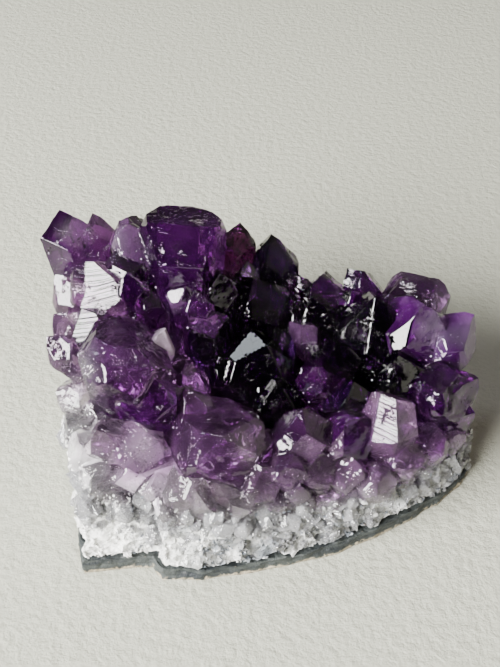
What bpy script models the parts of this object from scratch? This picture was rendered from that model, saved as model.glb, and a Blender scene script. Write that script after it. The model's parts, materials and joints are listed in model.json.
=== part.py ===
"""Amethyst cluster: a broken slab of geode wall, rind down and crystals up.

Three layers that grew on each other, each one closed solid:
  rock_rind          the thin grey-green skin of rock, its underside flat to rest on
  milky_quartz       the white granular quartz between the rind and the crystals
  amethyst_crystals  every purple point, grown into one another

Blender 4.5, metres, +Z up. The origin is the centre of the footprint at the resting face.
"""

import math
import random
from typing import NamedTuple

import bmesh
import bpy
from mathutils import Matrix, Vector

MM = 0.001
SEED = 41
OUTLINE_SEED = 7

# Quartz habit: six sides, and six tip faces whose outward directions rise 38.2 degrees from level.
SIDES = 6
TIP_FACE_RISE = math.radians(38.2)
TAPER = 0.92  # width of a crystal's foot as a share of its width below the tip
UNEVEN = 0.07  # how far tip faces may stray from their places, as a share of the width
BREAK_TILTS = (0.25, 0.9)  # slope of a random broken face, 0 being square across the crystal

# Layers, in millimetres.
RIND_THICKNESS = 3.0
RIND_THINNING = -0.012  # rise of the rind's upper face per millimetre towards +X
MILKY_TOP_CENTRE = 12.5
MILKY_TOP_SLOPE = -0.12  # rise of the milky layer per millimetre towards +X
MILKY_LEAST = 3.4
CORE_DEPTH = 8.0  # the amethyst's own bed, above the milky layer
LAYER_GAP = 0.3
ZONE_REACH = 1.3  # how far the cutting slabs reach past the outline, as a scale of it
ZONE_STEP = 12.0  # spacing of the cutting slabs' corners
OVERSIZE = 1.5  # how far a layer runs past its faces before they are cut
SKY = 90.0

# The cluster's footprint, counter-clockwise from the front-left corner, in millimetres.
FOOTPRINT = (
    (-34.8, -28.0), (-28.0, -27.0), (-21.6, -26.4), (-19.8, -29.4), (-12.0, -29.4),
    (-5.0, -28.4), (2.0, -27.0), (8.0, -25.2), (14.0, -23.4), (21.0, -19.9),
    (28.0, -16.2), (35.0, -11.2), (41.0, -6.4), (43.6, -0.4), (42.2, 6.6),
    (38.0, 14.0), (31.0, 19.0), (23.0, 21.5), (14.0, 23.0), (6.0, 25.0),
    (-3.0, 26.5), (-12.0, 25.5), (-21.0, 26.0), (-29.0, 25.0), (-35.0, 20.0),
    (-38.0, 12.0), (-38.5, 3.0), (-38.0, -6.0), (-37.4, -14.0), (-36.4, -21.5),
)


class Point(NamedTuple):
    """One crystal point. Lengths in millimetres, angles in degrees."""

    name: str
    tip: tuple[float, float, float]
    lean: tuple[float, float]  # compass direction the tip leans to, and how far from upright
    width: float  # across two prism faces
    spin: float = 0.0  # turn about its own axis
    minor: float = 0.10  # how far the three lesser tip faces are set back, as a share of the width
    broken: float = 0.0  # how much of the tip is broken off, as a share of the width
    cuts: tuple[tuple[float, float, float], ...] = ()  # each face: compass, tilt from upright, depth


CROWN_POINTS = (
    Point("outrigger", (-41.4, 27.2, 45.2), (132, 22), 10.6, 10, 0.16),
    Point("outrigger_back", (-35.0, 28.6, 43.0), (110, 30), 8.4, 40),
    Point("crown_left", (-27.4, 20.0, 49.6), (190, 16), 11.5, 20, 0.05,
          cuts=((150, 18, 2.4), (215, 34, 1.8), (290, 40, 1.6), (30, 30, 1.6))),
    Point("crown_main", (-15.4, 19.6, 56.5), (60, 8), 16.0, 28, 0.06,
          cuts=((86, 15, 7.4), (262, 40, 3.0))),
    Point("crown_front", (-18.4, 15.6, 45.5), (260, 12), 12.5, 10, 0.10, cuts=((262, 34, 2.4),)),
    Point("brown_back", (-5.4, 28.0, 41.5), (70, 24), 8.4, 5),
    Point("black_peak", (1.6, 27.6, 39.0), (85, 12), 10.4, 18, 0.03),
    Point("glitter_block", (13.0, 22.0, 34.5), (70, 14), 11.5, 8, 0.12, 0.12),
    Point("glitter_side", (6.0, 21.6, 34.0), (100, 10), 9.0, 36, cuts=((254, 50, 0.7),)),
    Point("back_spike", (17.2, 22.8, 33.6), (150, 48), 6.0, 0, 0.20),
    Point("grey_face", (17.6, 17.0, 32.4), (230, 14), 6.4, 44),
    Point("right_top", (31.4, 17.6, 38.4), (50, 16), 14.0, 33, 0.14,
          cuts=((110, 12, 2.8), (250, 42, 1.4))),
    Point("right_front", (30.4, 7.4, 37.0), (290, 16), 14.0, 22, 0.10),
    Point("right_far", (40.4, 8.8, 33.4), (10, 34), 11.5, 40, 0.06),
    Point("right_low", (40.6, -2.4, 26.5), (350, 50), 8.6, 15),
    Point("right_broken", (35.8, -5.6, 30.4), (300, 26), 12.0, 30, 0.08, 0.22),
    Point("right_lower", (40.2, -5.4, 20.5), (330, 52), 8.6, 8),
    Point("striated_prow", (22.6, -12.8, 33.2), (275, 9), 11.2, 12, 0.02,
          cuts=((243, 55, 2.2), (325, 62, 0.8), (60, 40, 0.8), (190, 72, -0.6))),
    Point("purple_mid", (15.4, -14.0, 28.2), (265, 13), 11.0, 33),
    Point("glassy_cap", (6.8, -15.0, 30.4), (268, 9), 11.4, 14, 0.05,
          cuts=((240, 30, 1.8), (330, 36, 1.6))),
    Point("front_big", (-9.2, -17.4, 34.8), (262, 11), 18.5, 24, 0.10,
          cuts=((80, 16, 5.2), (250, 30, 3.2), (205, 46, 1.2), (340, 36, 2.6))),
    Point("front_block", (-24.2, -18.4, 30.8), (250, 8), 10.4, 5, 0.04,
          cuts=((250, 22, 2.6), (300, 46, 1.0))),
    Point("tower", (-27.0, -7.0, 45.6), (235, 9), 16.0, 16, 0.05,
          cuts=((60, 14, 4.4), (232, 30, 2.8), (280, 44, 1.4), (20, 44, 1.2))),
    Point("tower_side", (-21.8, -11.0, 37.0), (280, 10), 12.0, 2, 0.12, 0.05),
    Point("left_edge", (-41.4, 0.8, 35.0), (185, 40), 8.4, 26),
    Point("bright_left", (-34.4, 11.2, 44.8), (205, 20), 11.6, 48, 0.06,
          cuts=((243, 46, 3.2), (256, 52, 2.4), (232, 50, 2.9), (20, 30, 0.6))),
    Point("striated_left", (-34.4, 2.4, 39.6), (200, 20), 7.6, 20, cuts=((243, 48, 1.0),)),
    Point("column", (-26.4, 10.2, 42.5), (215, 8), 6.6, 10),
    Point("dark_heart", (-2.6, 2.4, 33.6), (255, 7), 17.0, 6, 0.06, cuts=((225, 24, 2.2),)),
    Point("lavender_dome", (-16.2, 10.6, 42.2), (250, 16), 8.4, 30, 0.10, 0.10),
    Point("lavender_point", (-13.2, 8.6, 39.4), (280, 16), 7.6, 10),
    Point("pebble", (-18.4, -0.4, 37.6), (10, 24), 6.6, 0, 0.10, 0.12),
    Point("glassy_left", (-12.8, -3.4, 32.6), (20, 20), 8.4, 18, 0.10, 0.20),
    Point("dark_right", (21.4, 10.4, 36.4), (240, 8), 17.0, 12, 0.05),
    Point("dark_back", (-2.0, 15.4, 37.0), (250, 12), 13.0, 38),
    Point("dark_slope", (-9.0, 13.0, 41.0), (290, 20), 10.0, 22),
    Point("plate", (6.8, 8.4, 31.4), (230, 22), 6.4, 44, 0.18),
    Point("valley_back", (9.6, 14.4, 33.0), (220, 12), 10.0, 6),
    Point("valley_right", (13.6, 4.0, 30.4), (215, 14), 10.0, 20),
    Point("glassy_right", (11.4, -1.8, 31.0), (280, 18), 9.6, 36, 0.08,
          cuts=((290, 30, 1.4), (30, 35, 1.6), (120, 30, 1.2), (215, 56, 0.8))),
    Point("valley_floor", (1.6, -4.4, 27.0), (250, 12), 10.0, 12),
    Point("valley_prow", (16.6, -4.0, 27.6), (60, 16), 9.6, 40),
    Point("valley_side", (25.8, 0.6, 30.4), (240, 18), 10.0, 4),
)

APRON_POINTS = (
    Point("apron_1", (-25.3, -21.3, 27.2), (255, 15), 10.2, 10, 0.10, 0.20),
    Point("apron_2", (-19.7, -22.3, 25.0), (268, 17), 9.7, 34, 0.10, 0.24),
    Point("apron_3", (-14.1, -24.2, 23.0), (262, 20), 10.2, 0, 0.10, 0.22),
    Point("apron_4", (-6.8, -25.0, 22.2), (275, 20), 9.5, 22, 0.10, 0.20),
    Point("apron_5", (-1.0, -22.9, 24.2), (285, 15), 8.9, 44, 0.08, 0.12),
    Point("apron_6", (4.3, -20.8, 25.8), (280, 14), 9.1, 14, 0.10, 0.14),
    Point("apron_7", (9.3, -19.5, 24.8), (285, 15), 9.5, 30, 0.10, 0.18),
    Point("apron_8", (14.8, -18.9, 23.0), (290, 18), 8.6, 8, 0.10, 0.22),
    Point("apron_9", (21.0, -18.8, 20.6), (285, 15), 9.1, 38, 0.06, 0.10),
    Point("apron_10", (26.6, -14.8, 22.6), (300, 18), 9.3, 18, 0.10, 0.20),
    Point("apron_11", (32.3, -10.6, 21.6), (310, 19), 9.3, 2, 0.10, 0.18),
    Point("apron_12", (37.7, -6.6, 18.6), (320, 24), 8.0, 26, 0.10, 0.22),
    Point("left_1", (-39.6, -4.6, 28.0), (190, 38), 8.0, 12, 0.10, 0.14),
    Point("left_2", (-38.6, -10.4, 24.0), (200, 40), 7.6, 40, 0.10, 0.20),
    Point("left_3", (-35.4, -17.8, 25.6), (225, 34), 8.4, 22, 0.10, 0.18),
    Point("left_4", (-30.4, -18.6, 30.0), (230, 26), 7.8, 5),
    Point("left_5", (-41.0, 8.6, 34.0), (180, 38), 8.6, 30),
    Point("left_6", (-41.4, 17.4, 36.0), (165, 36), 9.0, 8),
)

# How long each kind of point is, as a share of its tip's height or of its width.
CROWN_LENGTH = 0.85
APRON_LENGTH = 1.9
FILL_LENGTH = 0.7

# Lesser points between and behind the named ones.
FILL_SPACING = 9.0
FILL_WIDTHS = (5.0, 8.6)
FILL_DROP = (3.0, 8.0)  # how far below the neighbouring tips they end
FILL_STRAY = 2.2  # how far they stray from an even grid
FILL_HALF_SPAN = 45.0  # half the width of the grid that they are picked from
FLANK_STEP = 9.4  # along the rim, from the right side round the back to the left side
FLANK_TIERS = ((14.0, 62.0), (22.0, 48.0), (29.0, 34.0))  # height and tilt of each row
FLANK_WIDTHS = (7.6, 11.0)

# The broken front edge is where y is less than this slope times x, less this depth.
FRONT_SLOPE = 0.3
FRONT_DEPTH = 6.0

# The broken faces of the two lower layers: spacing of their corners along the rim, the scale of the
# outline at each level from foot to top, and how far a corner strays from its place.
RIND_STEP = 3.2
RIND_LEVELS = (0.982, 1.0, 0.998, 0.985)
RIND_STRAY = 0.35
MILKY_STEP = 3.0
MILKY_LEVELS = (0.985, 0.978, 0.972, 0.962, 0.952, 0.945)
MILKY_STRAY = 0.75

# Lumps that stand out of them: spacing along the rim and their half sizes.
MILKY_LUMP_STEP = 7.4
MILKY_LUMP_SIZES = (1.8, 3.0)
MILKY_TIERS = (0.3, 0.75)  # shares of the layer's height
BED_STEP = 4.2
BED_LEVELS = (0.95, 0.94, 0.9, 0.8)
BED_STRAY = 0.8
BED_LUMP_STEP = 8.0  # pale lumps between the lowest points along the front
BED_LUMP_SIZES = (2.2, 3.4)
LUMP_CORNERS = 12


def rind_top(x: float, y: float) -> float:
    """Height of the rind's upper face, a gently waved surface."""
    wave = 0.3 * math.sin(x / 9.0) + 0.25 * math.cos(y / 7.0 + x / 15.0)
    return RIND_THICKNESS + RIND_THINNING * x + wave


def milky_top(x: float, y: float) -> float:
    """Height where the milky quartz gives way to amethyst: high at the left, low at the right."""
    wave = 1.1 * math.sin(x / 6.5 + y / 9.0) + 0.8 * math.cos(x / 4.1 - y / 11.0)
    return max(MILKY_TOP_CENTRE + MILKY_TOP_SLOPE * x + wave, RIND_THICKNESS + MILKY_LEAST)


def core_top(x: float, y: float) -> float:
    """Top of the bed that the points stand in."""
    return milky_top(x, y) + CORE_DEPTH


def rim(step: float, rng: random.Random, jitter: float = 0.0) -> list[Vector]:
    """Points every `step` millimetres or so along the footprint, moved in or out at random."""
    points = []
    for here, there in zip(FOOTPRINT, FOOTPRINT[1:] + FOOTPRINT[:1]):
        a, b = Vector(here), Vector(there)
        pieces = max(1, round((b - a).length / step))
        for i in range(pieces):
            spot = a.lerp(b, i / pieces)
            points.append(spot * (1 + rng.uniform(-jitter, jitter) / spot.length))
    return points


def loft(rings: list[list[Vector]]) -> bmesh.types.BMesh:
    """A closed body through rings of equal length, lowest first, each end closed to its centre."""
    body = bmesh.new()
    rows = [[body.verts.new(p * MM) for p in ring] for ring in rings]
    for low, high in zip(rows, rows[1:]):
        for i in range(len(low)):
            j = (i + 1) % len(low)
            body.faces.new((low[i], low[j], high[j], high[i]))
    for row, ring, turned in ((rows[0], rings[0], True), (rows[-1], rings[-1], False)):
        centre = body.verts.new(sum(ring, Vector((0, 0, 0))) / len(ring) * MM)
        for i in range(len(row)):
            corners = (row[i], row[(i + 1) % len(row)], centre)
            body.faces.new(corners[::-1] if turned else corners)
    bmesh.ops.triangulate(body, faces=body.faces[:])
    return body


def layer(
    outline: list[Vector], floor, roof, scales: tuple[float, ...], stray: float = 0.0
) -> bmesh.types.BMesh:
    """A slab between two height functions, whose side follows the outline at each scale, foot to top.

    The corners of the side stray in or out by a random share of `stray` millimetres.
    """
    inner_shares = (0.4, 0.75)
    rng = random.Random(OUTLINE_SEED + len(outline))

    def ring(share: float, height) -> list[Vector]:
        return [Vector((p.x * share, p.y * share, height(p.x * share, p.y * share))) for p in outline]

    rings = [ring(share * scales[0], floor) for share in inner_shares]
    for level, scale in enumerate(scales):
        rise = level / (len(scales) - 1)
        side = ring(scale, lambda x, y, up=rise: floor(x, y) * (1 - up) + roof(x, y) * up)
        for corner in side:
            out = Vector((corner.x, corner.y, 0)).normalized()
            corner += out * rng.uniform(-stray, stray)
        rings.append(side)
    rings += [ring(share * scales[-1], roof) for share in reversed(inner_shares)]
    return loft(rings)


def slice_off(piece: bmesh.types.BMesh, point: Vector, normal: Vector) -> None:
    """Cuts away what lies beyond the plane and closes the cut with one flat face."""
    everything = piece.verts[:] + piece.edges[:] + piece.faces[:]
    bmesh.ops.bisect_plane(
        piece, geom=everything, dist=1e-7, plane_co=point, plane_no=normal, clear_outer=True
    )
    rims = [edge for edge in piece.edges if edge.is_boundary]
    if rims:
        bmesh.ops.edgeloop_fill(piece, edges=rims)


def add_point(target: bmesh.types.BMesh, point: Point, length: float, rng: random.Random) -> None:
    """Adds one quartz point: a six-sided prism cut to its tip by six sloping faces.

    The three major faces meet at the tip and the three minor ones are set back, and each is a little
    off, as grown faces are. A broken tip is cut by two or three skew planes.
    """
    width = point.width * MM
    piece = bmesh.new()
    reach = width / 2 / math.cos(math.pi / SIDES)
    stand = Matrix.Translation((0, 0, width / 2 - length * MM / 2))
    bmesh.ops.create_cone(
        piece, cap_ends=True, segments=SIDES, radius1=reach * TAPER, radius2=reach,
        depth=length * MM + width, matrix=stand,
    )
    for side in range(SIDES):
        turn = math.radians(30 + 60 * side)
        out = Vector((math.cos(turn), math.sin(turn), 0)) * math.cos(TIP_FACE_RISE)
        normal = out + Vector((0, 0, math.sin(TIP_FACE_RISE)))
        setback = width * (point.minor * (side % 2) + rng.uniform(0, UNEVEN))
        slice_off(piece, normal * setback, normal)
    breaks = rng.choice((2, 3)) if point.broken else 0
    for _ in range(breaks):
        turn = rng.uniform(0, math.tau)
        slope = rng.uniform(*BREAK_TILTS)
        normal = Vector((math.cos(turn) * slope, math.sin(turn) * slope, 1)).normalized()
        slice_off(piece, Vector((0, 0, -point.broken * width)), normal)
    flatten = Matrix.Diagonal((rng.uniform(0.9, 1.1), rng.uniform(0.9, 1.1), 1, 1))
    tip = Vector(point.tip) * MM
    stance = Vector((0, 0, 1)).rotation_difference(heading(*point.lean)).to_matrix().to_4x4()
    stance = Matrix.Translation(tip) @ stance
    piece.transform(stance @ Matrix.Rotation(math.radians(point.spin), 4, "Z") @ flatten)
    for compass, tilt, depth in point.cuts:
        normal = heading(compass, tilt)
        slice_off(piece, tip - normal * depth * MM, normal)
    absorb(target, piece)


def heading(compass: float, tilt: float) -> Vector:
    """The direction a compass angle and a tilt from upright point to, both in degrees."""
    around, down = math.radians(compass), math.radians(tilt)
    return Vector((math.sin(down) * math.cos(around), math.sin(down) * math.sin(around), math.cos(down)))


def add_lump(target: bmesh.types.BMesh, centre: Vector, half: Vector, rng: random.Random) -> None:
    """Adds a broken lump with flat facets: the hull of corners scattered over an ellipsoid."""
    piece = bmesh.new()
    for _ in range(LUMP_CORNERS):
        corner = Vector((rng.gauss(0, 1), rng.gauss(0, 1), rng.gauss(0, 1))).normalized()
        piece.verts.new((centre + corner * half * rng.uniform(0.92, 1.06)) * MM)
    hull = bmesh.ops.convex_hull(piece, input=piece.verts[:])
    spare = dict.fromkeys(hull["geom_interior"] + hull["geom_unused"])
    bmesh.ops.delete(piece, geom=[v for v in spare if isinstance(v, bmesh.types.BMVert)], context="VERTS")
    absorb(target, piece)


def absorb(target: bmesh.types.BMesh, piece: bmesh.types.BMesh) -> None:
    """Moves a finished piece into the target mesh, with its faces pointing out."""
    bmesh.ops.recalc_face_normals(piece, faces=piece.faces[:])
    mesh = bpy.data.meshes.new("piece")
    piece.to_mesh(mesh)
    piece.free()
    target.from_mesh(mesh)
    bpy.data.meshes.remove(mesh)


def canopy(x: float, y: float) -> float:
    """Height of the crystal tips over a spot, averaged from the named points near it."""
    total = share = 0.0
    for point in CROWN_POINTS + APRON_POINTS:
        weight = 1 / ((point.tip[0] - x) ** 2 + (point.tip[1] - y) ** 2 + 9.0) ** 1.5
        total += weight * point.tip[2]
        share += weight
    return total / share


def inside_footprint(x: float, y: float, scale: float) -> bool:
    """True if the spot lies inside the footprint drawn at that scale."""
    ring = [(px * scale, py * scale) for px, py in FOOTPRINT]
    inside = False
    for (ax, ay), (bx, by) in zip(ring, ring[1:] + ring[:1]):
        if (ay > y) != (by > y) and x < (bx - ax) * (y - ay) / (by - ay) + ax:
            inside = not inside
    return inside


def on_front(spot: Vector) -> bool:
    """True along the broken front edge, from the left corner to the right end."""
    return spot.y < FRONT_SLOPE * spot.x - FRONT_DEPTH


def fill_points(rng: random.Random) -> list[Point]:
    """The lesser points that close the ground between the named ones."""
    found = []
    steps = int(FILL_HALF_SPAN / FILL_SPACING) + 1
    for row in range(-steps, steps + 1):
        for column in range(-steps, steps + 1):
            x = (column + 0.5 * (row % 2)) * FILL_SPACING + rng.uniform(-FILL_STRAY, FILL_STRAY)
            y = row * FILL_SPACING * 0.9 + rng.uniform(-FILL_STRAY, FILL_STRAY)
            drop, width = rng.uniform(*FILL_DROP), rng.uniform(*FILL_WIDTHS)
            twist, spin = rng.uniform(-50, 50), rng.uniform(0, 60)
            if not inside_footprint(x, y, 0.92):
                continue
            compass = math.degrees(math.atan2(y, x)) + twist
            tilt = 6 + 0.5 * math.hypot(x, y) + rng.uniform(0, 12)
            tip = (x, y, canopy(x, y) - drop)
            minor = rng.uniform(0.02, 0.2)
            found.append(Point(f"fill_{len(found)}", tip, (compass, tilt), width, spin, minor))
    return found


def flank_points(rng: random.Random) -> list[Point]:
    """Rows of points leaning out of the right side, the back and the left side."""
    found = []
    for spot in rim(FLANK_STEP, rng):
        if on_front(spot):
            continue
        for height, tilt in FLANK_TIERS:
            width = rng.uniform(*FLANK_WIDTHS)
            compass = math.degrees(math.atan2(spot.y, spot.x)) + rng.uniform(-24, 24)
            reach = 1.01 - 0.004 * height + rng.uniform(-0.04, 0.05)
            tip_z = min(height + rng.uniform(-3, 3), canopy(spot.x, spot.y) - 3)
            tip = (spot.x * reach, spot.y * reach, tip_z)
            lean = (compass, tilt + rng.uniform(-10, 10))
            found.append(Point(f"flank_{len(found)}", tip, lean, width, rng.uniform(0, 60), 0.1, 0.1))
    return found


def finish(name: str, colour: tuple[float, float, float], rough: float, clear: float) -> bpy.types.Material:
    """A Principled material; clear is how much light it lets through."""
    material = bpy.data.materials.new(name)
    material.use_nodes = True
    shader = material.node_tree.nodes["Principled BSDF"]
    shader.inputs["Base Color"].default_value = (*colour, 1)
    shader.inputs["Roughness"].default_value = rough
    shader.inputs["Transmission Weight"].default_value = clear
    shader.inputs["IOR"].default_value = 1.54
    return material


def place(body: bmesh.types.BMesh, name: str, collection: bpy.types.Collection) -> bpy.types.Object:
    """Makes an object from the mesh, with its faces pointing out."""
    bmesh.ops.recalc_face_normals(body, faces=body.faces[:])
    mesh = bpy.data.meshes.new(name)
    body.to_mesh(mesh)
    body.free()
    made = bpy.data.objects.new(name, mesh)
    collection.objects.link(made)
    return made


def as_cutter(made: bpy.types.Object) -> bpy.types.Object:
    """Keeps a helper body out of the model."""
    made.hide_render = True
    made.display_type = "WIRE"
    return made


def combine(
    body: bpy.types.Object, other: bpy.types.Object, operation: str, with_self: bool = False
) -> None:
    """Adds an exact Boolean to the body."""
    boolean = body.modifiers.new(f"{operation.lower()} {other.name}", "BOOLEAN")
    boolean.operation = operation
    boolean.object = other
    boolean.solver = "EXACT"
    boolean.use_self = with_self


def keep_between(body: bpy.types.Object, floor, roof, cutters: bpy.types.Collection) -> bpy.types.Object:
    """Cuts a body to what lies between two height functions, and keeps its outer shell."""
    outline = rim(ZONE_STEP, random.Random(OUTLINE_SEED))
    zone = place(layer(outline, floor, roof, (ZONE_REACH, ZONE_REACH)), f"{body.name}_zone", cutters)
    combine(body, as_cutter(zone), "INTERSECT")
    return keep_outer_shell(body)


def keep_outer_shell(body: bpy.types.Object) -> bpy.types.Object:
    """Bakes the Booleans and keeps the largest shell, without the pockets and crumbs that they leave."""
    graph = bpy.context.evaluated_depsgraph_get()
    mesh = bpy.data.meshes.new_from_object(body.evaluated_get(graph))
    body.modifiers.clear()
    body.data = mesh
    shape = bmesh.new()
    shape.from_mesh(mesh)
    waiting = set(shape.verts)
    shells = []
    while waiting:
        seed = waiting.pop()
        shell, front = [seed], [seed]
        while front:
            for edge in front.pop().link_edges:
                for vert in edge.verts:
                    if vert in waiting:
                        waiting.remove(vert)
                        shell.append(vert)
                        front.append(vert)
        shells.append(shell)
    largest = max(shells, key=len)
    spare = [vert for shell in shells if shell is not largest for vert in shell]
    bmesh.ops.delete(shape, geom=spare, context="VERTS")
    bmesh.ops.triangulate(shape, faces=shape.faces[:])
    shape.to_mesh(mesh)
    shape.free()
    return body


def centre_on_origin(bodies: list[bpy.types.Object]) -> None:
    """Slides the bodies together so that the box round them is centred on the vertical axis."""
    corners = [vert.co for body in bodies for vert in body.data.vertices]
    shift = Vector((0, 0, 0))
    for axis in (0, 1):
        reach = [corner[axis] for corner in corners]
        shift[axis] = -(min(reach) + max(reach)) / 2
    for body in bodies:
        body.data.transform(Matrix.Translation(shift))


def new_collection(name: str) -> bpy.types.Collection:
    """A collection linked to the scene."""
    made = bpy.data.collections.new(name)
    bpy.context.scene.collection.children.link(made)
    return made


def build_rind(parts: bpy.types.Collection, cutters: bpy.types.Collection) -> bpy.types.Object:
    """The thin rock skin: flat below, waved above, its edge broken off steeply."""
    outline = rim(RIND_STEP, random.Random(OUTLINE_SEED), 0.3)

    def foot(x: float, y: float) -> float:
        return -OVERSIZE

    def roof(x: float, y: float) -> float:
        return rind_top(x, y) + OVERSIZE

    body = place(layer(outline, foot, roof, RIND_LEVELS, RIND_STRAY), "rock_rind", parts)
    return keep_between(body, lambda x, y: 0.0, rind_top, cutters)


def build_milky(parts: bpy.types.Collection, cutters: bpy.types.Collection) -> bpy.types.Object:
    """The white quartz: a slab with a rough broken edge, and faceted lumps that stand out of it."""
    rng = random.Random(OUTLINE_SEED + 1)
    outline = rim(MILKY_STEP, rng, 0.3)

    def foot(x: float, y: float) -> float:
        return rind_top(x, y) + LAYER_GAP

    def roof(x: float, y: float) -> float:
        return milky_top(x, y) + OVERSIZE

    slab = layer(outline, rind_top, roof, MILKY_LEVELS, MILKY_STRAY)
    body = place(slab, "milky_quartz", parts)
    lumps = bmesh.new()
    for tier in MILKY_TIERS:
        for spot in rim(MILKY_LUMP_STEP, rng, 1.0):
            low, high = foot(spot.x, spot.y), milky_top(spot.x, spot.y)
            size = rng.uniform(*MILKY_LUMP_SIZES)
            height = low + (high - low) * tier + rng.uniform(-0.8, 0.8)
            centre = Vector((spot.x * 0.94, spot.y * 0.94, height))
            add_lump(lumps, centre, Vector((size, size, size * rng.uniform(1.0, 1.5))), rng)
    combine(body, as_cutter(place(lumps, "milky_lumps", cutters)), "UNION", with_self=True)
    return keep_between(body, foot, milky_top, cutters)


def build_amethyst(parts: bpy.types.Collection, cutters: bpy.types.Collection) -> bpy.types.Object:
    """Every purple point, fused with the bed that they stand in."""
    rng = random.Random(SEED)
    outline = rim(BED_STEP, random.Random(OUTLINE_SEED + 2), 0.5)

    def foot(x: float, y: float) -> float:
        return milky_top(x, y) + LAYER_GAP

    bed = layer(outline, milky_top, core_top, BED_LEVELS, BED_STRAY)
    body = place(bed, "amethyst_crystals", parts)
    points = bmesh.new()
    for point in CROWN_POINTS:
        add_point(points, point, point.tip[2] * CROWN_LENGTH, rng)
    for point in APRON_POINTS + tuple(flank_points(rng)):
        add_point(points, point, point.width * APRON_LENGTH, rng)
    for point in fill_points(rng):
        add_point(points, point, point.tip[2] * FILL_LENGTH, rng)
    for spot in rim(BED_LUMP_STEP, rng, 1.0):
        if on_front(spot):
            size = rng.uniform(*BED_LUMP_SIZES)
            height = milky_top(spot.x, spot.y) + rng.uniform(0.5, 5.5)
            centre = Vector((spot.x * 0.92, spot.y * 0.9, height))
            add_lump(points, centre, Vector((size, size, size * 1.2)), rng)
    combine(body, as_cutter(place(points, "points", cutters)), "UNION", with_self=True)
    return keep_between(body, foot, lambda x, y: SKY, cutters)


def main() -> None:
    """Clears the scene and builds the three layers."""
    for old in list(bpy.data.objects):
        bpy.data.objects.remove(old)
    parts = new_collection("amethyst_cluster")
    cutters = new_collection("cutters")
    rind = build_rind(parts, cutters)
    milky = build_milky(parts, cutters)
    amethyst = build_amethyst(parts, cutters)
    centre_on_origin([rind, milky, amethyst])
    rind.data.materials.append(finish("rock", (0.10, 0.12, 0.12), 0.75, 0.0))
    milky.data.materials.append(finish("milky", (0.78, 0.77, 0.78), 0.35, 0.1))
    amethyst.data.materials.append(finish("amethyst", (0.24, 0.06, 0.42), 0.08, 0.6))


main()
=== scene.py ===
"""Looks of the amethyst cluster: crystals, white quartz and rock rind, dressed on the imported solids.

Lengths are in millimetres until a mesh is made, and +Z is up. The crystals share the places that the
solids were built from, so each facet can be given to the point that it belongs to and tinted with it.
"""

from __future__ import annotations

import json
import logging
import math
import random
from collections.abc import Callable
from dataclasses import dataclass, field
from enum import Enum

import bmesh
import bpy
import numpy as np
from mathutils import Euler, Matrix, Vector, noise
from mathutils.bvhtree import BVHTree

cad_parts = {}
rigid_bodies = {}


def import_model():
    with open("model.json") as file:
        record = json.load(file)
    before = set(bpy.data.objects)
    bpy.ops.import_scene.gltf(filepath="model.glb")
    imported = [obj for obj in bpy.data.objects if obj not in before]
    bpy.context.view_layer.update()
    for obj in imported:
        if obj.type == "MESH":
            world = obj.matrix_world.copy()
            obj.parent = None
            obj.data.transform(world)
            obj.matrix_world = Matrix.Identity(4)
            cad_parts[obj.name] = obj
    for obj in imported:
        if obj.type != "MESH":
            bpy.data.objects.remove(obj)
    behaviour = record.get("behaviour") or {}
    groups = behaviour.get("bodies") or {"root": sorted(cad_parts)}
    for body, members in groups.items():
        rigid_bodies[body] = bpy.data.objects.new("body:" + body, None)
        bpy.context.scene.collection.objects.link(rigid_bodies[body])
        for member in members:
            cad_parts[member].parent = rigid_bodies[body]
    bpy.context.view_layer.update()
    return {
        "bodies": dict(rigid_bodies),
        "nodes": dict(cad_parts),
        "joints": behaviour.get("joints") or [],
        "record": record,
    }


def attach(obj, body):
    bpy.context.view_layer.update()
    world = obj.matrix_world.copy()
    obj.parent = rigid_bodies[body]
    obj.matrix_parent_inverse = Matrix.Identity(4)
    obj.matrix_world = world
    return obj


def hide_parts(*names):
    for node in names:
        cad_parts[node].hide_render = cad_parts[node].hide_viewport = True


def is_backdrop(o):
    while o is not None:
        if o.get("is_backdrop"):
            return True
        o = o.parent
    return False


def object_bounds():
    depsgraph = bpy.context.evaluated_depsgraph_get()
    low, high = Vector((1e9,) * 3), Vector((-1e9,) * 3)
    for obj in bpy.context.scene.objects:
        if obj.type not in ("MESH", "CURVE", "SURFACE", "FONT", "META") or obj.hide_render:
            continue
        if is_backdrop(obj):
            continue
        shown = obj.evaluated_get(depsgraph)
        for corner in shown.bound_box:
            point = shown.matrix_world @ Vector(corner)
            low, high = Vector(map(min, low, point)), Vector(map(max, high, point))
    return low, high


MM = 0.001
PLACE_SHIFT = Vector((0.92, -1.22, 0.0))  # from the crystals' own places to the frame
log = logging.getLogger("amethyst")

Colour = tuple[float, float, float]
Spot = tuple[float, float, float]


class Hue(Enum):
    """Colours that the crystals come in: at the tip, and further down."""

    HEART = ((0.0016, 0.0001, 0.0040), (0.0008, 0.0001, 0.0020))
    NIGHT = ((0.0160, 0.0003, 0.0280), (0.0070, 0.0001, 0.0150))
    DEEP = ((0.032, 0.0005, 0.052), (0.016, 0.0002, 0.030))
    PURPLE = ((0.056, 0.0025, 0.084), (0.028, 0.0004, 0.048))
    WINE = ((0.060, 0.007, 0.045), (0.034, 0.001, 0.026))
    MAUVE = ((0.108, 0.026, 0.130), (0.056, 0.004, 0.076))
    SMOKY = ((0.090, 0.040, 0.102), (0.030, 0.002, 0.046))
    ORCHID = ((0.200, 0.080, 0.225), (0.110, 0.024, 0.134))
    LILAC = ((0.390, 0.220, 0.410), (0.260, 0.100, 0.290))
    PALE = ((0.700, 0.580, 0.690), (0.520, 0.380, 0.540))


class Clarity(Enum):
    """How far light gets into a crystal; the value is its material's place in the list."""

    GLASSY = 0
    CLOUDY = 1
    MILKY = 2


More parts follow.
